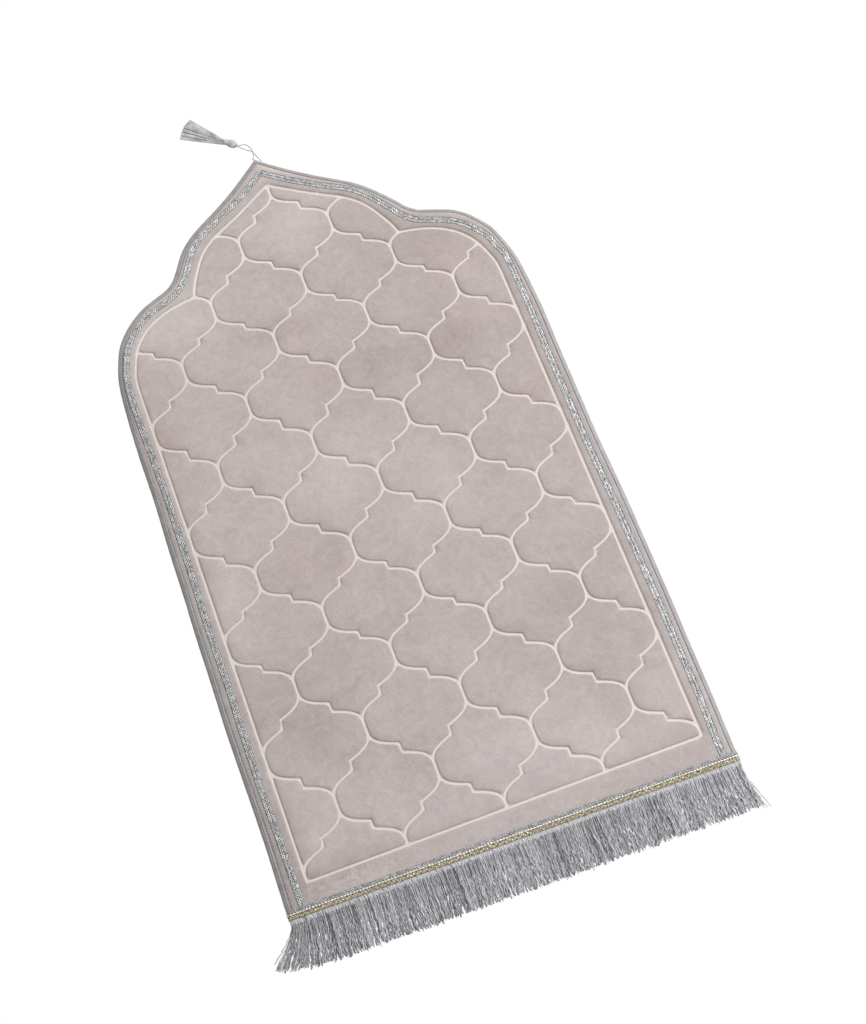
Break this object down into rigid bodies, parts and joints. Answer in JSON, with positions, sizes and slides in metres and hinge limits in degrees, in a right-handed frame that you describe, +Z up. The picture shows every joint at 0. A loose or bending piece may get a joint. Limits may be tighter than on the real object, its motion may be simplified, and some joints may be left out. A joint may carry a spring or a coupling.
{
  "type": "padded prayer rug",
  "caption": "Flat padded velvet prayer rug with a pointed arch, pressed trellis lines, bound edge, metallic braids, a fringed foot and a tassel on a cord loop at its tip.",
  "frame": {"origin": "on the flat underside, under the middle of the mat and its fringe, between the arch's tip and the fringe's ends", "axes": "+Z up from the floor through the pile, +Y along the rug towards the arch's tip, +X to the right for someone who looks towards the tip"},
  "size_m": [0.687, 1.3036, 0.0137],
  "materials": {
    "velvet": "brushed taupe velvet, paler in the pressed lines",
    "twill": "grey bias binding",
    "silver_braid": "silver metallic gimp",
    "gold_braid": "old gold metallic chain braid",
    "fringe_thread": "twisted silver grey thread",
    "tassel_thread": "silver grey thread"
  },
  "bodies": {
    "root": {"mat": "velvet", "edge_binding": "twill", "silver_braid": "silver_braid", "hem_silver_braid": "silver_braid", "hem_gold_braid": "gold_braid", "fringe": "fringe_thread", "tassel": "tassel_thread", "tassel_cord_left": "tassel_thread", "tassel_cord_right": "tassel_thread"}
  },
  "joints": []
}
